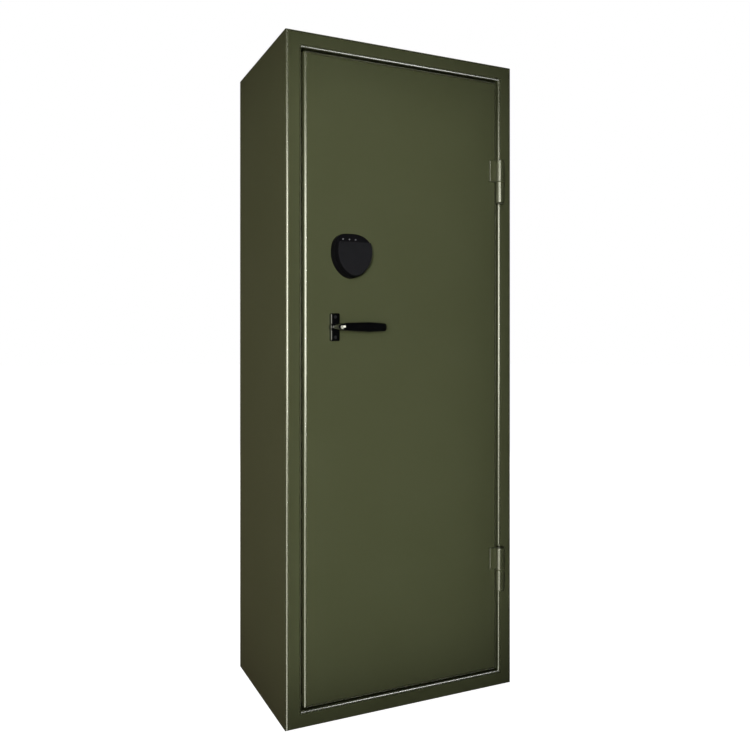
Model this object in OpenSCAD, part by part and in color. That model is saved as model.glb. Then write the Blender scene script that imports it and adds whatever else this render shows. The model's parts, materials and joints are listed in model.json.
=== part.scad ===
// Upright gun safe with a flush door, a lever handle, an electronic keypad and an inner rack.
// Millimetres, Z up. The middle of the underside is the origin and the door faces -Y.

/* [Cabinet] */
// Outside width
body_w = 555; // [540:5:640]
// Outside depth, without the handle and the hinges
body_d = 360; // [340:5:450]
// Outside height
body_h = 1450; // [1440:10:1600]
// Thickness of the wall sheet
wall_t = 2.5; // [2:0.5:3]
// Outside radius of the cabinet's folded edges
fold_r = 6; // [4:0.5:7]
// Width of the frame's face around the door
frame_face = 35; // [30:1:40]
// Width of the flange that the door stops against
stop_w = 12; // [11:1:14]

/* [Door] */
// Gap between the door and the frame
door_gap = 4.5; // [3.5:0.5:5]
// Thickness of the door sheet
door_t = 3; // [2.5:0.5:4]
// Depth of the door's folded edge
door_depth = 24; // [23:1:27]
// Outside radius of the door's folded edge
door_fold_r = 7; // [5:0.5:7.5]
// Distance of each hinge's middle from the floor and from the roof
hinge_inset = 275; // [240:5:300]
// Length of a hinge barrel
hinge_len = 100; // [90:1:110]
// Radius of a hinge barrel
hinge_r = 10; // [8:0.5:10]

/* [Bolt work] */
// Radius of the locking bolts
bolt_r = 9; // [8:0.5:9]
// How far the bolts move for each radian of the handle
throw_per_rad = 14; // [12:0.5:14]
// Distance between two side bolts
bolt_pitch = 395; // [380:5:400]
// Height of the handle above the floor
handle_z = 834; // [824:2:844]
// Distance of the handle from the door's free edge
handle_inset = 66.5; // [66:0.5:70]

/* [Handle] */
// Length of the lever from its axis to its tip
lever_len = 101; // [90:1:110]
// Height of the lever at its widest
lever_h = 21.6; // [18:0.2:24]
// Distance of the lever's middle from the door
lever_out = 46; // [44:1:54]

/* [Keypad] */
// Height of the keypad's middle above the floor
keypad_z = 984; // [980:2:990]
// Distance of the keypad's middle from the door's free edge
keypad_inset = 102.5; // [101:0.5:104]
// Half of the keypad's width
keypad_half_w = 43; // [42:0.5:44]
// Distance of the keypad's front from the door
keypad_out = 33; // [32:0.5:36]

/* [Inside] */
// Height of the upper shelf
shelf_z = 1190; // [1180:5:1200]
// Height of the barrel rest's underside
rest_z = 900; // [860:10:960]
// Number of barrel notches
notches = 5; // [3:1:5]
// Width of a barrel notch
notch_w = 34; // [28:1:38]
// Distance between the two anchor holes in the floor and in the back
anchor_pitch = 300; // [250:10:340]
// Radius of an anchor hole
anchor_r = 6; // [5:0.5:7]

/* [Hidden] */
$fn = 64;

// Colours
paint = [0.31, 0.33, 0.23];
zinc = [0.72, 0.73, 0.74];
steel = [0.5, 0.5, 0.52];
black = [0.06, 0.06, 0.065];
rubber = [0.12, 0.12, 0.12];
brass = [0.75, 0.6, 0.3];
grey = [0.45, 0.46, 0.47];
green = [0.1, 0.32, 0.16];

// Frame and door outlines
front_y = -body_d / 2;
inner_back = body_d - wall_t;
seam = fold_r + 2;
open_w = body_w - 2 * frame_face;
open_h = body_h - 2 * frame_face;
door_w = open_w - 2 * door_gap;
door_h = open_h - 2 * door_gap;
door_x = -door_w / 2;
door_z = frame_face + door_gap;
stop_x = -open_w / 2 + stop_w;
stop_top = body_h - frame_face - stop_w;
stop_bottom = frame_face + stop_w;

// Depths behind the front face
rebate = door_depth + 2;
stop_back = rebate + wall_t;
bolt_y = stop_back + 1.5 + bolt_r;
plate_y = stop_back + 2;
plate_t = 4;
cam_y = plate_y - 6.5;
cam_t = 5;
cover_y = bolt_y + 14.5;

// Inside
shelf_t = 1.5;
bracket_t = 2;
bracket_w = 30;
rest_d = 110;
rest_t = 18;
notch_d = 42;
mat_t = 5;
mat_hole_r = 16;

// Hinges
hinge_x = open_w / 2 - door_gap / 2;
hinge_y = -hinge_r - 1;
hinge_round = 4;
pin_r = 4.5;
pin_foot = 6;
hinge_split = 49.5;
washer_t = 1.2;
leaf_w = 25;
leaf_t = 6.5;
foot_w = 14;
foot_t = 6;

// Bolt work
handle_x = door_x + handle_inset;
travel = throw_per_rad * PI / 2;
cam_r0 = 17;
cam_pin = 4;
cam_slot = 4.2;
cam_r = cam_r0 + travel + cam_slot + 5;
guide_x = stop_x + 13;
guide_t = 4;
strip_x = guide_x + guide_t + travel + 1.5;
strip_t = 4;
bolt_zs = [body_h / 2 - bolt_pitch, body_h / 2, body_h / 2 + bolt_pitch];
rod_w = 20;
rod_bolt = 48;
angle_t = 4;
dog_t = 6;
tip_chamfer = 2;
rivet_r = 4;
spindle = 4;
bush_r = 6;

// Lock
keypad_x = door_x + keypad_inset;
lock_x = handle_x + 16.5;
lock_w = 85;
lock_h = 61;
lock_front = door_t + 4;
lock_back = plate_y + 6.5;
lock_wall = 3;
bolt_h = 10;
latch_y = plate_y - 2;
latch_d = 8;
lock_screw_r = 2.5;
lock_screw_in = 7;

// Cover over the middle of the bolt work
cover_t = 1.5;
post_r = 4;

// Screws through the face of the door
face_screw_r = 2;
face_head_r = 3.5;
face_head_h = 2.2;
rose_screw_z = 21.5;
base_screw_x = 27;

// Rose and lever
rose_t = 10;
hub_r = 11.5;
hub_out = 12.5;
hub_chamfer = 1.5;
socket_y = -30;
neck_r = 7.4;
lever_bend = 13;

// Keypad
shell_y = -20;
shell_t = 2.5;
base_t = 2;
flap_t = 1.8;
band_slope = 32;
cable_r = 2.5;
pad_mid = 6;
pad_up = 43.5;
pad_down = 52.3;
flap_top = 28.5;
flap_axis = [keypad_out - 8, flap_top - 4.2];
flap_pin_r = 1.25;
housing_ear_x = 23;
flap_ear_x = 28;
key_r = 5;
key_pitch = [15, 13];
key_top = 15.5;
light_xs = [-21.3, -7, 7.3];
light_r = 1.6;
cell_r = 5.25;
cell_len = 43;

// Half round, half pointed outline of the keypad, drawn i millimetres inside its rim
function shield(i, n = 64) = [for (k = [0:n - 1])
  let (a = 360 * k / n, c = cos(a), s = sin(a), e = s > 0 ? 2 / 2.7 : 2 / 1.8)
  [(keypad_half_w - i) * sign(c) * pow(abs(c), e),
   pad_mid + ((s > 0 ? pad_up : pad_down) - i) * sign(s) * pow(abs(s), e)]];

// Point of a spiral whose radius grows evenly with its angle, moved w sideways
function spiral(a, w) = let (r = cam_r0 + throw_per_rad * a * PI / 180, t = atan2(throw_per_rad, r))
  [r * cos(a) - w * sin(90 - t) * cos(a) - w * sin(t) * sin(a),
   r * sin(a) - w * sin(90 - t) * sin(a) + w * sin(t) * cos(a)];

// Everything drawn from the front face backwards
module front() {
  translate([0, front_y, 0]) children();
}

// Round bar along the depth, from y0 to y1
module bar_y(x, z, r, y0, y1) {
  translate([x, y0, z]) rotate([-90, 0, 0]) cylinder(r = r, h = y1 - y0);
}

// Block from one corner to the other
module block(p, q) {
  translate(p) cube(q - p);
}

// Rectangle with its two front corners rounded
module folded(w, d, r) {
  translate([r, 0]) square([w - 2 * r, d]);
  translate([0, r]) square([w, d - r]);
  translate([r, r]) circle(r);
  translate([w - r, r]) circle(r);
}

// Section of one side: wall, front face, return and stop flange
module edge_section() {
  difference() {
    folded(frame_face, stop_back, fold_r);
    translate([wall_t, wall_t]) folded(frame_face - 2 * wall_t, stop_back, fold_r - wall_t);
  }
  translate([0, fold_r]) square([wall_t, body_d - fold_r]);
  translate([frame_face - wall_t, rebate]) square([stop_w + wall_t, wall_t]);
}

module wall_section() {
  intersection() {
    edge_section();
    square([seam, body_d]);
  }
}

module frame_section() {
  difference() {
    edge_section();
    translate([-1, -1]) square([seam + 1, body_d + 2]);
  }
}

// A section run along one side and cut to 45 degrees at both ends
module mitred(length, gap = 0) {
  m = frame_face + stop_w + 1;
  intersection() {
    linear_extrude(length) children();
    translate([0, body_d + 1, 0]) rotate([90, 0, 0]) linear_extrude(body_d + 2)
      polygon([[-1, gap - 1], [m, m + gap], [m, length - m - gap], [-1, length + 1 - gap]]);
  }
}

module on_left() {
  translate([-body_w / 2, front_y, 0]) children();
}

module on_right() {
  mirror([1, 0, 0]) on_left() children();
}

module on_top() {
  translate([-body_w / 2, front_y, body_h]) rotate([0, 90, 0]) children();
}

module on_floor() {
  translate([body_w / 2, front_y, 0]) rotate([0, -90, 0]) children();
}

// Solid through rings of points, all with the same number of points
module loft(rings) {
  n = len(rings[0]);
  m = len(rings);
  points = [for (r = rings) each r];
  sides = [for (i = [0:m - 2], j = [0:n - 1]) let (k = (j + 1) % n)
    each [[i * n + j, (i + 1) * n + j, i * n + k], [(i + 1) * n + j, (i + 1) * n + k, i * n + k]]];
  first = [[for (j = [0:n - 1]) j]];
  last = [[for (j = [0:n - 1]) m * n - 1 - j]];
  polyhedron(points, concat(sides, first, last));
}

// Cabinet

module left_wall() {
  color(paint) on_left() mitred(body_h) wall_section();
}

module right_wall() {
  color(paint) on_right() mitred(body_h) wall_section();
}

module roof_panel() {
  color(paint) on_top() mitred(body_w) wall_section();
}

module floor_panel() {
  color(paint) difference() {
    on_floor() mitred(body_w) wall_section();
    for (x = [-1, 1] * anchor_pitch / 2) translate([x, 0, -1]) cylinder(r = anchor_r, h = wall_t + 2);
  }
}

module back_panel() {
  color(paint) front() difference() {
    block([wall_t - body_w / 2, inner_back, wall_t], [body_w / 2 - wall_t, body_d, body_h - wall_t]);
    for (x = [-1, 1] * anchor_pitch / 2) bar_y(x, shelf_z - 110, anchor_r, inner_back - 1, body_d + 1);
  }
}

module door_frame() {
  color(paint) {
    on_left() mitred(body_h, 0.05) frame_section();
    on_right() mitred(body_h, 0.05) frame_section();
    on_top() mitred(body_w, 0.05) frame_section();
    on_floor() mitred(body_w, 0.05) frame_section();
  }
}

module upper_shelf() {
  w = body_w / 2 - wall_t - 0.5;
  color(paint) front() {
    block([-w, cover_y + 22, shelf_z - shelf_t], [w, inner_back, shelf_z]);
    block([-w, cover_y + 22, shelf_z - 25], [w, cover_y + 22 + shelf_t, shelf_z]);
  }
}

module shelf_brackets() {
  w = body_w / 2 - wall_t;
  top = shelf_z - shelf_t;
  color(paint) front() for (s = [0, 1], y = [105, body_d - 75]) mirror([s, 0, 0]) {
    block([-w, y, top - bracket_w], [bracket_t - w, y + bracket_w, top]);
    block([-w, y, top - bracket_t], [25 - w, y + bracket_w, top]);
  }
}

module rack_bracket() {
  w = body_w / 2 - 17.5;
  color(paint) front() {
    block([-w, inner_back - bracket_t, rest_z - bracket_w], [w, inner_back, rest_z]);
    block([-w, inner_back - 50, rest_z - bracket_t], [w, inner_back, rest_z]);
  }
}

module barrel_rest() {
  w = body_w / 2 - 15.5;
  y0 = inner_back - rest_d;
  h = rest_t + 2;
  pitch = (2 * w - 4) / notches;
  color(rubber) front() difference() {
    block([-w, y0, rest_z], [w, inner_back, rest_z + rest_t]);
    for (i = [0:notches - 1]) translate([(i - (notches - 1) / 2) * pitch, y0 + notch_d, rest_z - 1]) {
      cylinder(r = notch_w / 2, h = h);
      block([-notch_w / 2, -notch_d - 1, 0], [notch_w / 2, 0, h]);
    }
  }
}

module floor_mat() {
  w = body_w / 2 - wall_t - 3;
  color(rubber) front() difference() {
    block([-w, stop_back + 3, wall_t], [w, inner_back - 2, wall_t + mat_t]);
    for (x = [-1, 1] * anchor_pitch / 2) translate([x, body_d / 2, 0])
      cylinder(r = mat_hole_r, h = wall_t + mat_t + 1);
  }
}

// Hinges

module at_hinges() {
  front() for (z = [hinge_inset, body_h - hinge_inset])
    translate([hinge_x, hinge_y, z - hinge_len / 2]) children();
}

module frame_knuckles() {
  c = hinge_round;
  color(paint) at_hinges() {
    rotate_extrude() difference() {
      union() {
        translate([0, c]) square([hinge_r, hinge_split - c]);
        square([hinge_r - c, c + 1]);
        translate([hinge_r - c, c]) circle(c);
      }
      translate([0, pin_foot]) square([pin_r, hinge_split]);
      translate([-hinge_r, 0]) square([hinge_r, hinge_len]);
    }
    difference() {
      block([0, -hinge_y - foot_t, c], [foot_w, -hinge_y, hinge_split - 2]);
      cylinder(r = hinge_r - 1, h = hinge_len);
    }
  }
}

module hinge_pins() {
  color(steel) at_hinges() translate([0, 0, pin_foot]) cylinder(r = pin_r, h = hinge_len - pin_foot - 8);
}

module hinge_washers() {
  color(brass) at_hinges() translate([0, 0, hinge_split]) difference() {
    cylinder(r = hinge_r, h = washer_t);
    translate([0, 0, -1]) cylinder(r = pin_r + 0.1, h = washer_t + 2);
  }
}

module door_knuckles() {
  z0 = hinge_split + washer_t + 0.3;
  color(paint) at_hinges() difference() {
    union() {
      translate([0, 0, z0]) cylinder(r = hinge_r, h = hinge_len - z0);
      block([-leaf_w, -hinge_y - leaf_t, z0], [0, -hinge_y, hinge_len]);
    }
    translate([0, 0, z0 - 1]) cylinder(r = pin_r + 0.3, h = hinge_len - z0 - 5);
  }
}

// Door

module door_skin() {
  color(paint) difference() {
    intersection() {
      translate([door_x, front_y, door_z]) linear_extrude(door_h) folded(door_w, door_depth, door_fold_r);
      translate([-door_x, front_y, door_z]) rotate([0, -90, 0])
        linear_extrude(door_w) folded(door_h, door_depth, door_fold_r);
    }
    front() {
      block([door_x + door_t, door_t, door_z + door_t],
        [-door_x - door_t, door_depth + 1, door_z + door_h - door_t]);
      bar_y(handle_x, handle_z, bush_r + 1, -1, door_t + 1);
      bar_y(keypad_x, keypad_z, 2 * cable_r, -1, door_t + 1);
      face_screw_places() bar_y(0, 0, face_screw_r, -1, door_t + 1);
    }
  }
}

// Hat section stiffener on the hinge half of the door
module door_stiffener() {
  x = door_w / 4 - 40;
  color(paint) front() translate([x, door_t, door_z + 25]) linear_extrude(door_h - 50) difference() {
    union() {
      square([80, 2]);
      translate([16, 0]) square([48, 18]);
    }
    translate([18, -1]) square([44, 17]);
  }
}

module hinge_side_dogs() {
  x = -door_x - 32;
  dog_y = plate_y + 0.5;
  color(zinc) front() for (z = bolt_zs) {
    block([x, door_t, z - 30], [x + dog_t, dog_y + dog_t, z + 30]);
    block([x, dog_y, z - 30], [hinge_x - 1.75, dog_y + dog_t, z + 30]);
  }
}

module side_bolt_guides() {
  color(zinc) front() for (z = bolt_zs) difference() {
    union() {
      block([guide_x, door_t, z - 25], [guide_x + guide_t, bolt_y + 13, z + 25]);
      block([guide_x, door_t, z - 25], [guide_x + 24, door_t + angle_t, z + 25]);
    }
    translate([guide_x - 1, bolt_y, z]) rotate([0, 90, 0]) cylinder(r = bolt_r + 0.3, h = guide_t + 2);
  }
}

// Two blocks that hold the rods and two angles that hold their bolts
module rod_guides() {
  w = rod_w / 2;
  z0 = stop_bottom + 12;
  color(zinc) front() translate([handle_x, 0, 0]) {
    for (z = [stop_bottom + 193, stop_top - 223]) difference() {
      block([-w - 7, door_t, z - 10], [w + 7, plate_y + plate_t + 4, z + 10]);
      block([-w - 0.5, plate_y - 0.5, z - 11], [w + 0.5, plate_y + plate_t + 0.5, z + 11]);
    }
    for (s = [0, 1]) translate([0, 0, s * body_h]) mirror([0, 0, s]) difference() {
      union() {
        block([-20, door_t, z0], [20, bolt_y + 13, z0 + angle_t]);
        block([-20, door_t, z0], [20, door_t + angle_t, z0 + 28]);
      }
      translate([0, bolt_y, stop_bottom]) cylinder(r = bolt_r + 0.3, h = 30);
    }
  }
}

// Lock

// Places of the four screws through the lock, from the lock's middle
module lock_screw_places() {
  for (x = [-1, 1] * (lock_w / 2 - lock_screw_in), z = [-1, 1] * (lock_h / 2 - lock_screw_in))
    translate([lock_x + lock_w / 2 + x, 0, keypad_z + z]) children();
}

module hard_plate() {
  color(steel) front() difference() {
    block([lock_x - 6, door_t, keypad_z - 45], [lock_x + lock_w + 6, lock_front, keypad_z + 45]);
    bar_y(keypad_x, keypad_z, 2 * cable_r, door_t - 1, lock_front + 1);
    lock_screw_places() bar_y(0, 0, lock_screw_r, door_t - 1, lock_front + 1);
  }
}

module lock_case() {
  z0 = keypad_z - lock_h / 2;
  w = lock_wall;
  color(grey) front() difference() {
    block([lock_x, lock_front, z0], [lock_x + lock_w, lock_back, z0 + lock_h]);
    difference() {
      block([lock_x + w, lock_front + w, z0 + w], [lock_x + lock_w - w, lock_back + 1, z0 + lock_h - w]);
      lock_screw_places() bar_y(0, 0, 2 * lock_screw_r, 0, lock_back + 1);
    }
    bar_y(keypad_x, keypad_z, cable_r + 0.5, lock_front - 1, lock_front + w + 1);
    lock_screw_places() bar_y(0, 0, lock_screw_r + 0.3, lock_front - 1, lock_back + 1);
    block([lock_x - 1, latch_y - 0.3, keypad_z - bolt_h / 2 - 0.3],
      [lock_x + w + 1, latch_y + latch_d + 0.3, keypad_z + bolt_h / 2 + 0.3]);
  }
}

module lock_lid() {
  z0 = keypad_z - lock_h / 2;
  color(grey) front() difference() {
    block([lock_x, lock_back, z0], [lock_x + lock_w, lock_back + 2, z0 + lock_h]);
    lock_screw_places() bar_y(0, 0, lock_screw_r + 0.3, lock_back - 1, lock_back + 3);
  }
}

// Motor and gears that move the latch, in one housing on the case's front wall
module lock_drive() {
  color(black) front() {
    block([lock_x + 8, lock_front + 5, keypad_z - 12], [lock_x + 52, latch_y - 0.5, keypad_z + 12]);
    block([lock_x + 56, lock_front + lock_wall, keypad_z - 12],
      [lock_x + 74, latch_y - 4, keypad_z + 12]);
    block([lock_x + 50, lock_front + lock_wall, keypad_z - 8],
      [lock_x + 58, latch_y - 8, keypad_z + 8]);
  }
}

module lock_screws() {
  color(steel) front() lock_screw_places() {
    bar_y(0, 0, lock_screw_r, door_t + 0.5, lock_back + 2);
    bar_y(0, 0, 4.5, lock_back + 2, lock_back + 5);
  }
}

// Places of the four posts under the cover plate
module post_places() {
  for (x = [guide_x + 0.5, lock_x + lock_w + 13], z = [handle_z - 69, keypad_z + 71])
    translate([x, 0, z]) children();
}

module cover_posts() {
  color(zinc) front() post_places() difference() {
    bar_y(0, 0, post_r, door_t, cover_y);
    bar_y(0, 0, post_r / 2, cover_y - 12, cover_y + 1);
  }
}

module mechanism_cover() {
  t = cover_t;
  x0 = guide_x - 5.5;
  x1 = lock_x + lock_w + 22;
  z0 = handle_z - 82;
  z1 = keypad_z + 84;
  color(paint) front() difference() {
    block([x0, cover_y - 4.5, z0], [x1, cover_y + t, z1]);
    block([x0 + t, cover_y - 5, z0 + t], [x1 - t, cover_y, z1 - t]);
    post_places() bar_y(0, 0, post_r / 2 + 0.2, cover_y - 1, cover_y + 3);
  }
}

module cover_screws() {
  color(zinc) front() post_places() {
    bar_y(0, 0, post_r / 2, cover_y - 10, cover_y + cover_t);
    bar_y(0, 0, 3.5, cover_y + cover_t, cover_y + cover_t + 2.2);
  }
}

// Handle

module spindle_bush() {
  color(brass) front() difference() {
    union() {
      bar_y(handle_x, handle_z, bush_r + 1, 0, door_t);
      bar_y(handle_x, handle_z, bush_r + 5, door_t, door_t + 3);
    }
    bar_y(handle_x, handle_z, bush_r, -1, door_t + 4);
  }
}

// Upright plate with a round hub that carries the lever's neck
module handle_rose() {
  color(black) front() translate([handle_x, 0, handle_z]) difference() {
    union() {
      rotate([90, 0, 0]) linear_extrude(rose_t - 1.5) rose_outline(10, 29.5, 3);
      rotate([90, 0, 0]) linear_extrude(rose_t) rose_outline(8.5, 28, 2);
      rotate([90, 0, 0]) cylinder(r = hub_r, h = hub_out - hub_chamfer);
      translate([0, hub_chamfer - hub_out, 0]) rotate([90, 0, 0])
        cylinder(r1 = hub_r, r2 = hub_r - hub_chamfer, h = hub_chamfer);
    }
    bar_y(0, 0, neck_r + 0.4, -hub_out - 1, -4.5);
    bar_y(0, 0, bush_r, -5, 1);
    for (z = [-1, 1] * rose_screw_z) {
      bar_y(0, z, face_screw_r + 0.2, -rose_t - 1, 1);
      bar_y(0, z, face_head_r + 0.3, -rose_t - 1, 3 - rose_t);
    }
  }
}

// Upright rectangle with rounded corners
module rose_outline(w, h, r) {
  square([2 * w, 2 * (h - r)], center = true);
  square([2 * (w - r), 2 * h], center = true);
  for (x = [r - w, w - r], z = [r - h, h - r]) translate([x, z]) circle(r);
}

// Places of the screws that hold the rose and, as the last child, the keypad's base on the door
module face_screw_places() {
  for (z = [-1, 1] * rose_screw_z) translate([handle_x, 0, handle_z + z]) children(0);
  for (x = [-1, 1] * base_screw_x) translate([keypad_x + x, 0, keypad_z]) children($children - 1);
}

module face_screws() {
  color(black) front() face_screw_places() {
    face_screw(3 - rose_t);
    face_screw(-base_t);
  }
}

// Screw into the door sheet with its head resting at the depth y
module face_screw(y) {
  bar_y(0, 0, face_screw_r, y, door_t);
  bar_y(0, 0, face_head_r, y - face_head_h, y);
}

// Oval ring of the lever: centre, half height, half depth and turn about the upright
function lever_ring(p, h, d, a) = [for (k = [0:31]) let (t = 360 * k / 32, v = d * cos(t))
  [p[0] + v * cos(a), -p[1] + v * sin(a), h * sin(t)]];

// The lever leaves the rose, bends through 90 degrees and runs on towards the hinges
module handle_lever() {
  bend = lever_bend;
  grip = lever_len - bend;
  hh = lever_h / 2;
  neck = [for (u = [0, 1]) lever_ring([0, 9 + u * (lever_out - bend - 9)], neck_r, neck_r, 0)];
  turn = [for (a = [15:15:75]) let (u = a / 90)
    lever_ring([bend - bend * cos(a), lever_out - bend + bend * sin(a)],
      neck_r + u * 1.4, neck_r - u * 0.6, a)];
  run = [for (u = [0:0.1:0.9]) lever_ring([bend + u * grip, lever_out],
    8.8 + (hh - 8.8) * sin(min(1, u * 1.7) * 90) - (hh - 8.6) * max(0, u - 0.5) / 0.5, 6.8 - u, 90)];
  tip = [for (a = [0:22.5:67.5]) lever_ring([bend + grip * 0.94 + grip * 0.06 * sin(a), lever_out],
    8.2 * (0.45 + 0.55 * cos(a)), 5.7 * (0.4 + 0.6 * cos(a)), 90)];
  color(black) front() translate([handle_x, 0, handle_z]) difference() {
    union() {
      loft(concat(neck, turn, run, tip));
      bar_y(0, 0, neck_r + 0.1, -hub_out - 0.5, -4.7);
    }
    spindle_bar(socket_y, 0);
  }
}

// Square bar on the handle's axis, from y0 to y1
module spindle_bar(y0, y1) {
  block([-spindle, y0, -spindle], [spindle, y1, spindle]);
}

module handle_spindle() {
  color(steel) front() translate([handle_x, 0, handle_z]) spindle_bar(socket_y, plate_y + 2.5);
}

// Disc with three spiral slots that push the rods and the carriage outwards
module cam_disc() {
  slot = concat([for (a = [0:3:90]) spiral(a, cam_slot)], [for (a = [90:-3:0]) spiral(a, -cam_slot)]);
  color(zinc) front() translate([handle_x, 0, handle_z]) difference() {
    union() {
      bar_y(0, 0, cam_r, cam_y, cam_y + cam_t);
      bar_y(0, 0, 9, door_t + 6, cam_y + cam_t);
    }
    spindle_bar(0, cover_y);
    for (a = [90, 180, 270]) rotate([0, -a, 0]) {
      translate([0, cam_y + cam_t + 1, 0]) rotate([90, 0, 0]) linear_extrude(cam_t + 2) polygon(slot);
      bar_y(cam_r0, 0, cam_slot, cam_y - 1, cam_y + cam_t + 1);
      bar_y(0, cam_r0 + travel, cam_slot, cam_y - 1, cam_y + cam_t + 1);
    }
  }
}

module spindle_clip() {
  color(steel) front() translate([handle_x, 0, handle_z]) difference() {
    bar_y(0, 0, 8, cam_y + cam_t, cam_y + cam_t + 1.2);
    spindle_bar(0, cover_y);
  }
}

// Upright strip that carries the side bolts, with the pin that runs in the cam's slot
module bolt_carriage() {
  pin_x = handle_x - cam_r0;
  color(zinc) front() difference() {
    union() {
      block([strip_x, plate_y, bolt_zs[0] - 25], [strip_x + strip_t, bolt_y + 8.5, bolt_zs[2] + 25]);
      block([min(strip_x, pin_x - 7), plate_y, handle_z - 10],
        [max(strip_x + strip_t, pin_x + 5), plate_y + plate_t, handle_z + 10]);
      bar_y(pin_x, handle_z, cam_pin, cam_y - 1, plate_y + 1);
    }
    for (z = bolt_zs) translate([strip_x - 1, bolt_y, z]) rotate([0, 90, 0])
      cylinder(r = rivet_r, h = strip_t + 2);
  }
}

// Round bolt along Z with its chamfered tip at the origin
module bolt(length) {
  cylinder(r1 = bolt_r - tip_chamfer, r2 = bolt_r, h = tip_chamfer);
  translate([0, 0, tip_chamfer]) cylinder(r = bolt_r, h = length - tip_chamfer);
}

// Three bolts riveted into the carriage
module side_bolts() {
  color(zinc) front() for (z = bolt_zs) translate([stop_x + 6.5, bolt_y, z]) rotate([0, 90, 0]) {
    bolt(strip_x - stop_x - 6.5);
    translate([0, 0, strip_x - stop_x - 6.5]) cylinder(r = rivet_r, h = strip_t + 1);
  }
}

module top_rod() {
  w = rod_w / 2;
  tip = stop_top - 4;
  color(zinc) front() translate([handle_x, 0, 0]) {
    difference() {
      block([-w, plate_y, handle_z + cam_r0 - 8], [w, plate_y + plate_t, tip - rod_bolt + 12]);
      for (z = [keypad_z, keypad_z - travel])
        block([0.5, plate_y - 1, z - bolt_h / 2 - 1],
          [w + 1, plate_y + plate_t + 1, z + bolt_h / 2 + 1]);
    }
    bar_y(0, handle_z + cam_r0, cam_pin, cam_y - 1, plate_y + 1);
    translate([0, bolt_y, tip]) mirror([0, 0, 1]) bolt(rod_bolt);
  }
}

module bottom_rod() {
  w = rod_w / 2;
  tip = stop_bottom + 4;
  color(zinc) front() translate([handle_x, 0, 0]) {
    block([-w, plate_y, tip + rod_bolt - 12], [w, plate_y + plate_t, handle_z - cam_r0 + 8]);
    bar_y(0, handle_z - cam_r0, cam_pin, cam_y - 1, plate_y + 1);
    translate([0, bolt_y, tip]) bolt(rod_bolt);
  }
}

// Latch of the lock, which enters one of the two notches in the upper rod
module lock_bolt() {
  color(steel) front() block([lock_x - 2, latch_y, keypad_z - bolt_h / 2],
    [lock_x + 50, latch_y + latch_d, keypad_z + bolt_h / 2]);
}

// Keypad

module on_keypad() {
  front() translate([keypad_x, 0, keypad_z]) children();
}

// Slice of the keypad's outline between two depths
module slice(i, y0, y1) {
  translate([0, y1, 0]) rotate([90, 0, 0]) linear_extrude(y1 - y0) polygon(shield(i));
}

module keypad_base() {
  color(black) on_keypad() difference() {
    slice(0, -base_t, 0);
    bar_y(0, 0, cable_r + 1.5, -base_t - 1, 1);
    for (x = [-1, 1] * base_screw_x) bar_y(x, 0, face_screw_r + 0.2, -base_t - 1, 1);
  }
}

// Places of the keys, in three columns and four rows
module key_place(c, r) {
  translate([key_pitch[0] * (c - 1), 0, key_top - key_pitch[1] * r]) children();
}

// Shell with the key holes and the sloped band, two posts for the board and two ears for the flap
module keypad_housing() {
  color(black) on_keypad() {
    difference() {
      slice(0.8, shell_y, -base_t);
      intersection() {
        slice(0.8 + shell_t, shell_y + shell_t, 1 - base_t);
        block([-60, -40, -60], [60, 0, flap_top - 5]);
      }
      for (c = [0:2], r = [0:3]) key_place(c, r) bar_y(0, 0, key_r + 0.3, shell_y - 1, shell_y + 3);
      translate([0, shell_y, flap_top]) rotate([-band_slope, 0, 0]) block([-60, -30, 0], [60, 0, 40]);
      light_places() bar_y(0, 0, light_r, shell_y, -11);
    }
    for (x = [-24.5, 24.5]) bar_y(x, 0, 2, shell_y + 2, -14);
    difference() {
      for (x = [-1, 1] * housing_ear_x) block([x - 2, -flap_axis[0] - 2.2, flap_axis[1] - 2.5],
        [x + 2, shell_y + 1, flap_axis[1] + 2]);
      on_flap_axis(80) cylinder(r = flap_pin_r, h = 80);
    }
  }
}

// Along the flap's axis, starting half of w to the left
module on_flap_axis(w) {
  translate([-w / 2, -flap_axis[0], flap_axis[1]]) rotate([0, 90, 0]) children();
}

module light_places() {
  for (x = light_xs) translate([x, 0, flap_top + 6.7]) children();
}

module indicator_lights() {
  color(grey) on_keypad() light_places() bar_y(0, 0, light_r, -17.2, -11);
}

module keypad_board() {
  color(green) on_keypad() block([-27, -14, -28], [27, -12.8, 21]);
}

// Two cells lying across the keypad behind the board
module keypad_batteries() {
  color(grey) on_keypad() for (z = [-13, 13]) translate([-22, -7.55, z]) rotate([0, 90, 0]) {
    cylinder(r = cell_r, h = cell_len);
    translate([0, 0, cell_len]) cylinder(r = 1.9, h = 1.2);
  }
}

module keypad_cable() {
  color(black) on_keypad() bar_y(0, 0, cable_r, -12.8, lock_front + 5);
}

module flap_pin() {
  color(steel) on_keypad() on_flap_axis(60) cylinder(r = flap_pin_r, h = 60);
}

// Ring of the flap's outline at one depth
function flap_ring(i, y) = [for (p = shield(i)) [p[0], -y, p[1]]];

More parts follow.
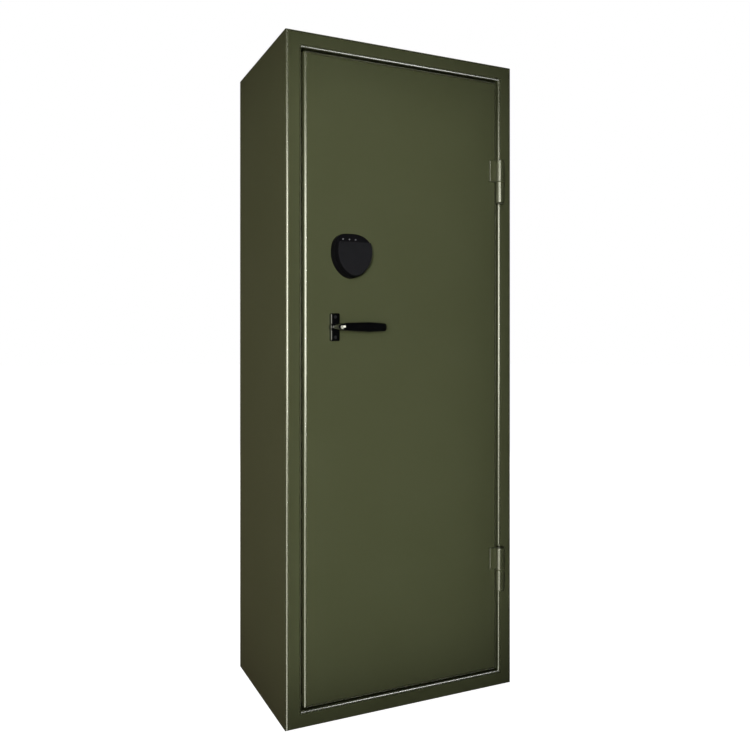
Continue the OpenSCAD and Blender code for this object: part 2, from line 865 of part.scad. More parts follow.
// Shell over the keys with sloped sides and a slightly crowned face. Slots in its top edge let it
// swing past the housing's ears.
module keypad_flap() {
  t = flap_t;
  y0 = 0.4 - shell_y;
  color(black) on_keypad() difference() {
    union() {
      difference() {
        intersection() {
          loft([flap_ring(1, y0), flap_ring(2.1, keypad_out - 8.6), flap_ring(4.2, keypad_out - 1.5),
            flap_ring(5.3, keypad_out - 0.6), flap_ring(14, keypad_out)]);
          block([-60, -60, -60], [60, 0, flap_top]);
        }
        intersection() {
          loft([flap_ring(2.8, y0 - 1), flap_ring(4.1, keypad_out - 9.2), flap_ring(6.2, keypad_out - 3.2),
            flap_ring(7.3, keypad_out - t - 0.6), flap_ring(14, keypad_out - t)]);
          block([-60, -60, -60], [60, 0, flap_top - t]);
        }
        block([-60, 9.2 - keypad_out, flap_top - 8], [60, 0, flap_top + 1]);
      }
      for (x = [-1, 1] * flap_ear_x) block([x - 1.6, 1 - keypad_out, flap_axis[1] - 3],
        [x + 1.6, 2.4 - flap_axis[0], flap_axis[1] + 2.4]);
    }
    for (x = [-1, 1] * housing_ear_x) block([x - 2.5, -flap_axis[0] - 3.6, flap_axis[1]],
      [x + 2.5, 0, flap_top + 1]);
    on_flap_axis(80) cylinder(r = flap_pin_r + 0.3, h = 80);
  }
}

module key(c, r) {
  color(grey) on_keypad() key_place(c, r) {
    bar_y(0, 0, key_r, shell_y - 2.5, shell_y + 4.2);
    bar_y(0, 0, key_r + 1, shell_y + 2.6, shell_y + 4.2);
  }
}

module key_1() key(0, 0);
module key_2() key(1, 0);
module key_3() key(2, 0);
module key_4() key(0, 1);
module key_5() key(1, 1);
module key_6() key(2, 1);
module key_7() key(0, 2);
module key_8() key(1, 2);
module key_9() key(2, 2);
module key_clear() key(0, 3);
module key_0() key(1, 3);
module key_enter() key(2, 3);

left_wall();
right_wall();
roof_panel();
floor_panel();
back_panel();
door_frame();
upper_shelf();
shelf_brackets();
rack_bracket();
barrel_rest();
floor_mat();
frame_knuckles();
hinge_pins();
hinge_washers();
door_skin();
door_stiffener();
door_knuckles();
hinge_side_dogs();
side_bolt_guides();
rod_guides();
hard_plate();
lock_case();
lock_lid();
lock_drive();
lock_screws();
cover_posts();
mechanism_cover();
cover_screws();
spindle_bush();
handle_rose();
face_screws();
keypad_base();
keypad_housing();
keypad_board();
keypad_batteries();
indicator_lights();
keypad_cable();
flap_pin();
handle_lever();
handle_spindle();
cam_disc();
spindle_clip();
bolt_carriage();
side_bolts();
top_rod();
bottom_rod();
lock_bolt();
keypad_flap();
key_1();
key_2();
key_3();
key_4();
key_5();
key_6();
key_7();
key_8();
key_9();
key_clear();
key_0();
key_enter();
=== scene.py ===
import json
import math
import bmesh
import bpy
import numpy as np
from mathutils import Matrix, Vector
from mathutils.geometry import tessellate_polygon


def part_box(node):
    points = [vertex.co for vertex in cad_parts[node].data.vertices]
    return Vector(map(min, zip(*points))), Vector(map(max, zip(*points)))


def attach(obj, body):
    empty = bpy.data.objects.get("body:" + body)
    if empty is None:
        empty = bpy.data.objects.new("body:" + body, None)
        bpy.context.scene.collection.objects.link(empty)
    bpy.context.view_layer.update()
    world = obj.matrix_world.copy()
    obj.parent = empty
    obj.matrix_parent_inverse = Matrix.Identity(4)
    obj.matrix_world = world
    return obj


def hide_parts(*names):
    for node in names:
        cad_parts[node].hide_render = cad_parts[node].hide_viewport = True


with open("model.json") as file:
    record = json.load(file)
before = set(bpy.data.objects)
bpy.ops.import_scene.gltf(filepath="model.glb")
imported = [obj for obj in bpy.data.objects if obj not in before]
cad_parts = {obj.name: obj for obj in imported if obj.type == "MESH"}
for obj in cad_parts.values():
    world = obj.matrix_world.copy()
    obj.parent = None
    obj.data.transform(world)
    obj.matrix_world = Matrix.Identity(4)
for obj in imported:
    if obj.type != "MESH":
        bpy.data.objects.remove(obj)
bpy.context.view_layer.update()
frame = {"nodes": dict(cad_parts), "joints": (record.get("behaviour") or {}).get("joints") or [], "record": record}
nodes = frame["nodes"]
mm = 0.001  # every size below is in millimetres, and meshes are made in metres
hold = 1.0  # distance of the loop that keeps a flat face flat beside a fold
weld, sliver = 0.002, 0.0001  # nearer points are merged, and shorter edges are dissolved
flatNormal = 0.9995  # a face counts as flat when one part of its normal is larger than this


def box(name):  # lowest and highest corner of a CAD node
    low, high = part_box(name)
    return np.array(low) / mm, np.array(high) / mm


cabinetLow, cabinetHigh = box("left_wall")[0], box("right_wall")[1]
frontY = cabinetLow[1]
hinge = next(j for j in frame["joints"] if j["name"] == "door_hinge")
hingeX, hingeY = (p / mm for p in hinge["pos_m"][:2])
handleX, handleZ = (sum(box("handle_spindle"))[[0, 2]] / 2).tolist()


# Meshes

def gridQuads(rows, cols, wrapRows, wrapCols, first):  # point (i, j) of a grid joins (i + 1, j + 1)
    i = np.arange(rows if wrapRows else rows - 1)[:, None]
    j = np.arange(cols if wrapCols else cols - 1)[None, :]
    below, right = (i + 1) % rows, (j + 1) % cols
    quads = np.broadcast_arrays(i * cols + j, i * cols + right, below * cols + right, below * cols + j)
    return (np.stack(quads, -1).reshape(-1, 4) + first).tolist()


def sheet(points, wrapRows=False, wrapCols=False, capFirst=False, capLast=False):
    return dict(points=np.asarray(points, float), wrapRows=wrapRows, wrapCols=wrapCols,
                capFirst=capFirst, capLast=capLast)


def flatFace(loops):  # one flat face: the first loop is its outline, the others are holes
    corners = [[Vector(p) for p in loop] for loop in loops]
    return dict(verts=np.concatenate(loops), faces=[list(t) for t in tessellate_polygon(corners)])


# Joins grids and flat faces into one closed mesh, with smooth shading up to the sharp angle
def buildPiece(name, parts, body, slot, stands, finish=None, sharp=38):
    verts, faces, count = [], [], 0
    for part in parts:
        if "faces" in part:
            verts.append(part["verts"])
            faces += [[k + count for k in f] for f in part["faces"]]
            count += len(part["verts"])
            continue
        rows, cols = part["points"].shape[:2]
        verts.append(part["points"].reshape(-1, 3))
        faces += gridQuads(rows, cols, part["wrapRows"], part["wrapCols"], count)
        if part["capFirst"]:
            faces.append(list(range(count, count + cols)))
        if part["capLast"]:
            faces.append(list(range(count + (rows - 1) * cols, count + rows * cols)))
        count += rows * cols
    mesh = bpy.data.meshes.new(name)
    mesh.from_pydata(np.concatenate(verts) * mm, [], faces)
    work = bmesh.new()
    work.from_mesh(mesh)
    bmesh.ops.remove_doubles(work, verts=work.verts, dist=weld * mm)
    bmesh.ops.dissolve_degenerate(work, edges=work.edges, dist=sliver * mm)
    bmesh.ops.recalc_face_normals(work, faces=work.faces)
    work.to_mesh(mesh)
    work.free()
    mesh.shade_smooth()
    mesh.set_sharp_from_angle(angle=math.radians(sharp))
    normals = np.zeros(len(mesh.polygons) * 3)
    mesh.polygons.foreach_get("normal", normals)
    bent = np.abs(normals.reshape(-1, 3)).max(1) < flatNormal  # faces of folds and rounded edges
    mesh.attributes.new("fold", "FLOAT", "FACE").data.foreach_set("value", bent.astype(np.float32))
    mesh.materials.append(finish or finishes[slot])
    piece = bpy.data.objects.new(name, mesh)
    bpy.context.scene.collection.objects.link(piece)
    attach(piece, body)
    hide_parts(*stands)
    return piece


def arc(cx, cy, r, start, end, steps=6):  # points at even angles round (cx, cy)
    t = np.radians(np.linspace(start, end, steps + 1))
    return np.stack([cx + r * np.cos(t), cy + r * np.sin(t)], 1)


def path(*stretches):  # joins single points and arcs into one list of points
    return np.concatenate([np.atleast_2d(np.asarray(s, float)) for s in stretches])


# Rounded rectangle, one row for each inset, anticlockwise from the lower right:
# each corner is a hold point, an arc about (edge - inset - radius) and a hold point
def rectRing(low, high, inset, radius, steps=4):
    inset = np.atleast_1d(np.asarray(inset, float))[:, None]
    radius = np.broadcast_to(np.reshape(radius, (-1, 1)), inset.shape)
    us, vs = [], []
    for right, upper, turn in ((1, 0, -90), (1, 1, 0), (0, 1, 90), (0, 0, 180)):
        cu = high[0] - inset - radius if right else low[0] + inset + radius
        cv = high[1] - inset - radius if upper else low[1] + inset + radius
        a = np.radians(turn + np.linspace(0, 90, steps + 1))[None, :]
        u, v = cu + radius * np.cos(a), cv + radius * np.sin(a)
        c, s = np.cos(a[0, 0]), np.sin(a[0, 0])
        us += [u[:, :1] + s * hold, u, u[:, -1:] - c * hold]
        vs += [v[:, :1] - c * hold, v, v[:, -1:] - s * hold]
    return np.hstack(us), np.hstack(vs)


def facingFront(y):  # u to the right, v up, w backwards from y
    return lambda u, v, w: np.stack(np.broadcast_arrays(u, y + w, v), -1)


def facingBack(y):  # u to the right, v up, w forwards from y
    return lambda u, v, w: np.stack(np.broadcast_arrays(u, y - w, v), -1)


def facingUp(z):  # u to the right, v backwards, w down from z
    return lambda u, v, w: np.stack(np.broadcast_arrays(u, v, z - w), -1)


def upright(x, y, z):  # turned about the vertical through (x, y), starting at z
    return lambda u, v, w: np.stack(np.broadcast_arrays(x + u, y + v, z + w), -1)


def onFront(x, z, y):  # turned about the depth through (x, z), starting at y and going back
    return lambda u, v, w: np.stack(np.broadcast_arrays(x + u, y + w, z + v), -1)


def onBack(x, z, y):  # turned about the depth through (x, z), starting at y and coming forward
    return lambda u, v, w: np.stack(np.broadcast_arrays(x + u, y - w, z + v), -1)


def holeRing(u, v, r, count=32):  # circle, open at its end
    return arc(u, v, r, 0, 360 - 360 / count, count - 1)


# Plate with a rounded front edge: a section (inset, depth) carried round a rounded rectangle.
# With a sheet thickness it is a tray, folded from that sheet, and without one it is solid
def panel(low, high, depth, fold, corner, place, holes=(), thick=None):
    section = path([fold + hold, 0], arc(fold, fold, fold, 270, 180), [0, fold + hold], [0, depth])
    if thick:
        section = path(section, [thick, depth], [thick, thick])
    u, v = rectRing(low, high, section[:, 0], np.maximum(corner - section[:, 0], 0))
    rim = place(u, v, section[:, 1:])
    floorDepth = section[-1, 1]
    front, back = [rim[0]], [rim[-1]]
    parts = [sheet(rim, wrapCols=True)]
    for hole in holes:
        ring = holeRing(*hole)
        wall = place(ring[None, :, 0], ring[None, :, 1], np.array([[0.0], [floorDepth]]))
        parts.append(sheet(wall, wrapCols=True))
        front.append(wall[0])
        back.append(wall[1])
    return parts + [flatFace(front), flatFace(back)]


# Surface of revolution: a profile of (radius, distance along the axis) turned about the axis
def turned(profile, place, count=40):
    a = np.linspace(0, 2 * np.pi, count, endpoint=False)[None, :]
    r, along = profile[:, :1], profile[:, 1:]
    return sheet(place(r * np.cos(a), r * np.sin(a), along), wrapCols=True)


# Outline of (u, v) points pushed along w from one depth to another, with holes
def prism(outline, depths, place, holes=()):
    wall = place(outline[None, :, 0], outline[None, :, 1], np.reshape(depths, (2, 1)))
    parts, ends = [sheet(wall, wrapCols=True)], [[wall[0]], [wall[1]]]
    for hole in holes:
        ring = holeRing(*hole, 24)
        bore = place(ring[None, :, 0], ring[None, :, 1], np.reshape(depths, (2, 1)))
        parts.append(sheet(bore, wrapCols=True))
        ends[0].append(bore[0])
        ends[1].append(bore[1])
    return parts + [flatFace(ends[0]), flatFace(ends[1])]


# dome: shares of the head's radius and height, from its underside to the edge of its flat top
screwLook = dict(headR=3.5, headH=2.2, shank=2, socket=1.5, socketDeep=0.7, sides=36,
                 dome=((1, 1), (1, 0.45), (0.88, 0.12), (0.7, 0)))


# Screw with a domed head and a six-sided socket: rings of (radius, depth), where the socket's
# radius follows a hexagon, flat / cos(angle from the middle of a side)
def screw(place, reach, look=screwLook):
    a = np.linspace(0, 2 * np.pi, look["sides"], endpoint=False)[None, :]
    hexagon = look["socket"] / np.cos(a % (np.pi / 3) - np.pi / 6)
    floor = look["headH"] * look["socketDeep"]
    rings = [(0, reach), (look["shank"], reach), (look["shank"], look["headH"])]
    rings += [(r * look["headR"], d * look["headH"]) for r, d in look["dome"]]
    rings += [(hexagon, 0), (hexagon, floor), (0, floor)]
    points = [place(r * np.cos(a), r * np.sin(a), d) for r, d in rings]
    return sheet(np.concatenate(points), wrapCols=True)


# Finishes

def socketGroup(name, inputs, outputs):
    group = bpy.data.node_groups.new(name, "ShaderNodeTree")
    for label, value in inputs.items():
        kind = "NodeSocketVector" if isinstance(value, tuple) else "NodeSocketFloat"
        group.interface.new_socket(name=label, in_out="INPUT", socket_type=kind).default_value = value
    for label in outputs:
        group.interface.new_socket(name=label, in_out="OUTPUT", socket_type="NodeSocketFloat")
    return group, group.nodes.new("NodeGroupInput"), group.nodes.new("NodeGroupOutput")


# Fine grain for bumps and a broad, slow mottle for colour, both from noise on object coordinates
def makeGrainGroup():
    group, given, result = socketGroup("surfaceGrain", {"Grain Scale": 800.0, "Mottle Scale": 9.0},
                                       ["Grain", "Mottle"])
    where = group.nodes.new("ShaderNodeTexCoord")
    for label, detail, rough in (("Grain", 3.0, 0.6), ("Mottle", 4.0, 0.55)):
        noise = group.nodes.new("ShaderNodeTexNoise")
        noise.inputs["Detail"].default_value = detail
        noise.inputs["Roughness"].default_value = rough
        group.links.new(where.outputs["Object"], noise.inputs["Vector"])
        group.links.new(given.outputs[label + " Scale"], noise.inputs["Scale"])
        group.links.new(noise.outputs["Fac"], result.inputs[label])
    return group


# Drawn lines of rolled or machined metal: noise stretched along one direction
def makeLinesGroup():
    group, given, result = socketGroup("drawnLines", {"Stretch": (900.0, 900.0, 12.0)}, ["Lines"])
    where = group.nodes.new("ShaderNodeTexCoord")
    turn = group.nodes.new("ShaderNodeMapping")
    noise = group.nodes.new("ShaderNodeTexNoise")
    noise.inputs["Scale"].default_value = 1.0
    noise.inputs["Detail"].default_value = 3.0
    group.links.new(where.outputs["Object"], turn.inputs["Vector"])
    group.links.new(given.outputs["Stretch"], turn.inputs["Scale"])
    group.links.new(turn.outputs["Vector"], noise.inputs["Vector"])
    group.links.new(noise.outputs["Fac"], result.inputs["Lines"])
    return group


# Mask for painted shade on the flap's sides: 0 behind one depth and 1 in front of another, from object coordinates
def makeSideShadeGroup():
    group, given, result = socketGroup("sideShadeMask", {"Side": -0.2, "Front": -0.21}, ["Mask"])
    where = group.nodes.new("ShaderNodeTexCoord")
    split = group.nodes.new("ShaderNodeSeparateXYZ")
    ramp = group.nodes.new("ShaderNodeMapRange")
    group.links.new(where.outputs["Object"], split.inputs["Vector"])
    group.links.new(split.outputs["Y"], ramp.inputs["Value"])
    group.links.new(given.outputs["Side"], ramp.inputs["From Min"])
    group.links.new(given.outputs["Front"], ramp.inputs["From Max"])
    group.links.new(ramp.outputs["Result"], result.inputs["Mask"])
    return group


grainGroup, linesGroup, sideShadeGroup = makeGrainGroup(), makeLinesGroup(), makeSideShadeGroup()

# dark and light: the two colours that the mottle moves between; rough: the two ends of the
# roughness; grain and mottle: noise scales per metre; bump: height of the grain in millimetres;
# side: painted shade, a darker colour on the sides, which ends at shadeOut millimetres out of
# the door; coat: gloss over the finish, with its refractive index and roughness, which foldCoat keeps to the
# smoother folds
finishLooks = dict(
    olive_paint=dict(dark=(0.0485, 0.053, 0.0243), light=(0.058, 0.0634, 0.0318), rough=(0.30, 0.38),
                     grain=900, mottle=7, bump=0.035, foldCoat=True, coatIor=3, coatRough=0.26),
    zinc_steel=dict(dark=(0.46, 0.47, 0.47), light=(0.62, 0.62, 0.60), rough=(0.24, 0.42), metal=0.7,
                    grain=500, mottle=26, bump=0.02, lines=(900, 900, 14)),
    bare_steel=dict(dark=(0.34, 0.34, 0.35), light=(0.46, 0.46, 0.47), rough=(0.26, 0.44), metal=0.8,
                    grain=700, mottle=40, bump=0.02, lines=(1100, 1100, 30)),
    brass=dict(dark=(0.58, 0.40, 0.15), light=(0.72, 0.52, 0.22), rough=(0.22, 0.36), metal=1,
               grain=700, mottle=60, bump=0.01),
    lock_alloy=dict(dark=(0.40, 0.40, 0.41), light=(0.52, 0.52, 0.53), rough=(0.42, 0.58), metal=0.7,
                    grain=1200, mottle=50, bump=0.06),
    # black_plastic is a darker copy of the flap's plastic: its darkness on the keypad's housing and base is
    # painted shade
    black_plastic=dict(dark=(0.0042, 0.0042, 0.0047), light=(0.0054, 0.0054, 0.006), rough=(0.42, 0.5),
                       grain=2600, mottle=60, bump=0.008, specular=0.008),
    # flap_plastic's side colour is painted shade: its sides are darker than its face
    flap_plastic=dict(dark=(0.0100, 0.0100, 0.0110), light=(0.0126, 0.0126, 0.0137), rough=(0.42, 0.50),
                      grain=2600, mottle=60, bump=0.008, specular=0.01, side=(0.0036, 0.0036, 0.0040),
                      shadeOut=(31.2, 32.2)),
    rose_black=dict(dark=(0.0014, 0.0014, 0.0017), light=(0.0022, 0.0022, 0.0025), rough=(0.16, 0.22),
                    grain=1500, mottle=40, bump=0.004, specular=0.1, coat=0.4, coatIor=3),
    black_lever=dict(dark=(0.0009, 0.0009, 0.0012), light=(0.0015, 0.0015, 0.0018), rough=(0.13, 0.19),
                     grain=1500, mottle=40, bump=0.004, specular=0.2, coat=0.9, coatIor=3),
    black_steel=dict(dark=(0.006, 0.006, 0.007), light=(0.012, 0.012, 0.013), rough=(0.35, 0.5),
                     grain=1200, mottle=200, bump=0.01, specular=0.4),
    black_rubber=dict(dark=(0.014, 0.014, 0.014), light=(0.022, 0.022, 0.021), rough=(0.72, 0.88),
                      grain=1400, mottle=18, bump=0.12, specular=0.3),
    board_green=dict(dark=(0.012, 0.07, 0.025), light=(0.018, 0.1, 0.035), rough=(0.25, 0.35),
                     grain=900, mottle=120, bump=0.01),
    cell_wrap=dict(dark=(0.07, 0.07, 0.08), light=(0.1, 0.1, 0.11), rough=(0.22, 0.3), grain=900,
                   mottle=80, bump=0.005),
    light_lens=dict(dark=(0.12, 0.12, 0.13), light=(0.18, 0.18, 0.19), rough=(0.1, 0.16), grain=900,
                    mottle=300, bump=0.002, coat=0.4),
    grey_keys=dict(dark=(0.15, 0.15, 0.155), light=(0.19, 0.19, 0.195), rough=(0.55, 0.68), grain=2400,
                   mottle=200, bump=0.02, specular=0.35),
    white_print=dict(dark=(0.66, 0.66, 0.64), light=(0.76, 0.76, 0.74), rough=(0.5, 0.6), grain=1800,
                     mottle=500, bump=0.004),
)
noiseSpan = (0.3, 0.7)  # most of a noise lies between these


def makeFinish(name, dark, light, rough, grain, mottle, bump, metal=0.0, specular=0.5, lines=None,
               coat=0.0, coatIor=1.5, coatRough=0.06, foldCoat=False, side=None, shadeOut=None):
    finish = bpy.data.materials.new(name)
    finish.use_nodes = True
    tree = finish.node_tree
    shader = tree.nodes["Principled BSDF"]
    shader.inputs["Metallic"].default_value = metal
    shader.inputs["Specular IOR Level"].default_value = specular
    shader.inputs["Coat Weight"].default_value = coat
    shader.inputs["Coat Roughness"].default_value = coatRough
    shader.inputs["Coat IOR"].default_value = coatIor
    if foldCoat:
        folds = tree.nodes.new("ShaderNodeAttribute")
        folds.attribute_name = "fold"
        tree.links.new(folds.outputs["Fac"], shader.inputs["Coat Weight"])
    noise = tree.nodes.new("ShaderNodeGroup")
    noise.node_tree = grainGroup
    noise.inputs["Grain Scale"].default_value = grain
    noise.inputs["Mottle Scale"].default_value = mottle
    colour = tree.nodes.new("ShaderNodeMix")
    colour.data_type = "RGBA"
    colour.inputs["A"].default_value = (*dark, 1)
    colour.inputs["B"].default_value = (*light, 1)
    tree.links.new(noise.outputs["Mottle"], colour.inputs["Factor"])
    base = colour.outputs["Result"]
    # Painted shade: the sides take the darker side colour, and the face keeps the mottled colour
    if side:
        front = tree.nodes.new("ShaderNodeGroup")
        front.node_tree = sideShadeGroup
        for label, out in zip(("Side", "Front"), shadeOut):
            front.inputs[label].default_value = (frontY - out) * mm
        shadedSides = tree.nodes.new("ShaderNodeMix")
        shadedSides.data_type = "RGBA"
        shadedSides.inputs["A"].default_value = (*side, 1)
        tree.links.new(front.outputs["Mask"], shadedSides.inputs["Factor"])
        tree.links.new(base, shadedSides.inputs["B"])
        base = shadedSides.outputs["Result"]
    tree.links.new(base, shader.inputs["Base Color"])
    wear = noise.outputs["Grain"]
    if lines:
        drawn = tree.nodes.new("ShaderNodeGroup")
        drawn.node_tree = linesGroup
        drawn.inputs["Stretch"].default_value = lines
        wear = drawn.outputs["Lines"]
    spread = tree.nodes.new("ShaderNodeMapRange")
    for end, noiseEnd, roughEnd in zip(("Min", "Max"), noiseSpan, rough):
        spread.inputs["From " + end].default_value = noiseEnd
        spread.inputs["To " + end].default_value = roughEnd
    tree.links.new(wear, spread.inputs["Value"])
    tree.links.new(spread.outputs["Result"], shader.inputs["Roughness"])
    relief = tree.nodes.new("ShaderNodeBump")
    relief.inputs["Strength"].default_value = 1.0
    relief.inputs["Distance"].default_value = bump * mm
    tree.links.new(wear, relief.inputs["Height"])
    tree.links.new(relief.outputs["Normal"], shader.inputs["Normal"])
    return finish


finishes = {name: makeFinish(name, **look) for name, look in finishLooks.items()}
for row in frame["record"]["subparts"]:
    slots = nodes[row["node"]].data.materials
    slots.clear()
    slots.append(finishes[row["material_slot"]])
nodes["hinge_washers"].data.materials[0] = finishes["olive_paint"]  # sprayed over with the hinges
print("finishes:", len(finishes))


# Cabinet

cabinetLook = dict(face=35, fold=6, sheet=2.5, rebate=26, stop=12, seam=8, corner=1.5)


# Side walls and roof in one folded sheet: the wall's section, inset and depth, carried up one side,
# over the roof and down the other, with mitred lower ends
def makeWalls(look):
    r, t, seam = look["fold"], look["sheet"], look["seam"]
    depth = cabinetHigh[1] - cabinetLow[1]
    section = path([0, depth], [0, r + hold], arc(r, r, r, 180, 270), [r + hold, 0], [seam, 0],
                   [seam, t], [r + hold, t], arc(r, r, r - t, 270, 180), [t, r + hold], [t, depth])
    inset = section[:, :1]
    steps = 4
    u, v = rectRing(cabinetLow[[0, 2]], cabinetHigh[[0, 2]], inset[:, 0],
                    np.maximum(look["corner"] - inset[:, 0], 0), steps)
    upper = slice(steps + 3, 3 * (steps + 3))  # the points of the two upper corners
    foot = cabinetLow[2] + inset
    u = np.hstack([cabinetHigh[0] - inset, u[:, upper], cabinetLow[0] + inset])
    v = np.hstack([foot, v[:, upper], foot])
    points = facingFront(frontY)(u, v, section[:, 1:]).swapaxes(0, 1)
    wrap = sheet(points, wrapCols=True, capFirst=True, capLast=True)
    buildPiece("wallWrap", [wrap], "cabinet", "olive_paint", ["left_wall", "right_wall", "roof_panel"])


# Frame round the door: face, rounded fold, return and stop flange as one closed section
def makeFrame(look):
    r, t, face, rebate = look["fold"], look["sheet"], look["face"], look["rebate"]
    stop = face + look["stop"]
    section = path([look["seam"], 0], [face - r - hold, 0], arc(face - r, r, r, -90, 0),
                   [face, r + hold], [face, rebate], [stop, rebate], [stop, rebate + t],
                   [face - t, rebate + t], [face - t, r + hold], arc(face - r, r, r - t, 0, -90),
                   [face - r - hold, t], [look["seam"], t])
    u, v = rectRing(cabinetLow[[0, 2]], cabinetHigh[[0, 2]], section[:, 0], 0.0 * section[:, 0])
    points = facingFront(frontY)(u, v, section[:, 1:])
    ring = sheet(points, wrapRows=True, wrapCols=True)
    buildPiece("frontFrame", [ring], "cabinet", "olive_paint", ["door_frame"])


makeWalls(cabinetLook)
makeFrame(cabinetLook)
print("cabinet made")


# Door

doorLook = dict(sheet=3, fold=7, corner=3, spindleHole=7, cableHole=5, screwHole=2)
roseLook = dict(halfWide=10, halfTall=29.5, thick=10, edge=2.2, corner=3, screwZ=21.5, screwBore=3.8,
                screwOut=9.2, bore=7.8, hub=11.5, hubOut=12.5, hubShoulder=2, hubRound=1.6)
# The shield is widest at mid and reaches up and down from there; its band leans back by slope in
# degrees, and its hollow ends at roof below the flap's top edge
keypadLook = dict(halfWide=43, mid=6, up=43.5, upShape=2.7, down=52.3, downShape=1.8, base=2,
                  baseEdge=0.7, inset=0.8, wall=2.5, edge=0.5, front=20, flapTop=28.5, slope=32,
                  roof=5, keyBore=5.3, postX=24.5, post=2, postBack=14, screwX=27, screwOut=4.2)
keypadX = sum(box("keypad_base"))[0] / 2
keypadZ = box("keypad_base")[1][2] - keypadLook["mid"] - keypadLook["up"]


# Door leaf: a tray folded from sheet, with round holes for the spindle, the cable and four screws
def makeDoor(look):
    low, high = box("door_skin")
    screws = [(handleX, handleZ + s * roseLook["screwZ"]) for s in (-1, 1)]
    screws += [(keypadX + s * keypadLook["screwX"], keypadZ) for s in (-1, 1)]
    holes = [(handleX, handleZ, look["spindleHole"]), (keypadX, keypadZ, look["cableHole"])]
    holes += [(x, z, look["screwHole"]) for x, z in screws]
    parts = panel(low[[0, 2]], high[[0, 2]], high[1] - low[1], look["fold"], look["corner"],
                  facingFront(low[1]), holes, look["sheet"])
    buildPiece("doorLeaf", parts, "door", "olive_paint", ["door_skin"])


makeDoor(doorLook)
print("door made")


# Hinges

hingeLook = dict(length=100, barrel=10, pin=4.5, pinGap=0.3, split=49.5, upper=51, ceiling=94, floor=6,
                 round=4, capRound=0.8, chamfer=0.5, leafWide=25, leafIn=2, leafThick=6.5, footWide=14,
                 footIn=1, footThick=6, footGap=2, edge=1.4, corner=1.5)


# Barrels are profiles turned about the pin, with the bore inside; leaf and foot are rounded plates
def makeHinges(look):
    r, c, cap, bevel = look["barrel"], look["round"], look["capRound"], look["chamfer"]
    top, split, lift = look["length"], look["split"], look["upper"]
    pin, bore = look["pin"], look["pin"] + look["pinGap"]
    feet = [box("frame_knuckles")[0][2], box("door_knuckles")[1][2] - top]
    lower = path([0, 0], [r - c - hold, 0], arc(r - c, c, c, -90, 0), [r, c + hold], [r, split - bevel],
                 [r - bevel, split], [pin, split], [pin, look["floor"]], [0, look["floor"]])
    upper = path([0, top], [r - cap - hold, top], arc(r - cap, top - cap, cap, 90, 0, 3),
                 [r, top - cap - hold], [r, lift + bevel], [r - bevel, lift], [bore, lift],
                 [bore, look["ceiling"]], [0, look["ceiling"]])
    frameParts, doorParts = [], []
    for z in feet:
        place = upright(hingeX, hingeY, z)
        frameParts.append(turned(lower, place))
        frameParts += panel((hingeX + look["footIn"], z + c),
                            (hingeX + look["footWide"], z + split - look["footGap"]), look["footThick"],
                            look["edge"], look["corner"], facingFront(frontY - look["footThick"]))
        doorParts.append(turned(upper, place))
        doorParts += panel((hingeX - look["leafWide"], z + lift), (hingeX - look["leafIn"], z + top),
                           look["leafThick"], look["edge"], look["corner"],
                           facingFront(frontY - look["leafThick"]))
    buildPiece("frameKnuckles", frameParts, "cabinet", "olive_paint", ["frame_knuckles"])
    buildPiece("doorKnuckles", doorParts, "door", "olive_paint", ["door_knuckles"])


makeHinges(hingeLook)
print("hinges made")


# Handle

# Half sizes of the lever: neck at the door, waist where the grip starts, and its end before the tip
leverLook = dict(neck=7.4, bend=13, out=46, reach=101, tall=21.6, squareness=2.5, start=5,
                 tipShare=0.07, tipShape=2.6, neckRise=1.4, neckThin=0.6, waist=8.8, swellRate=1.7,
                 end=8.6, taperFrom=0.5, taperShape=1.4, deep=6.8, thinning=1)


# Rose: a plate with rounded edges, and a collar turned about the lever's axis
def makeRose(look):
    half = np.array([look["halfWide"], look["halfTall"]])
    middle = np.array([handleX, handleZ])
    holes = [(handleX, handleZ, look["bore"])]
    holes += [(handleX, handleZ + s * look["screwZ"], look["screwBore"]) for s in (-1, 1)]
    parts = panel(middle - half, middle + half, look["thick"], look["edge"], look["corner"],
                  facingFront(frontY - look["thick"]), holes)
    r, c, top = look["hub"], look["hubRound"], look["hubOut"]
    collar = path([look["bore"], 0], [r, 0], [r, top - look["hubShoulder"]],
                  arc(r - c, top - c, c, 0, 90, 5), [look["bore"], top])
    parts.append(turned(path(collar, collar[0]), onBack(handleX, handleZ, frontY), 48))
    buildPiece("handleRose", parts, "door", "black_lever", ["handle_rose"], finishes["rose_black"])


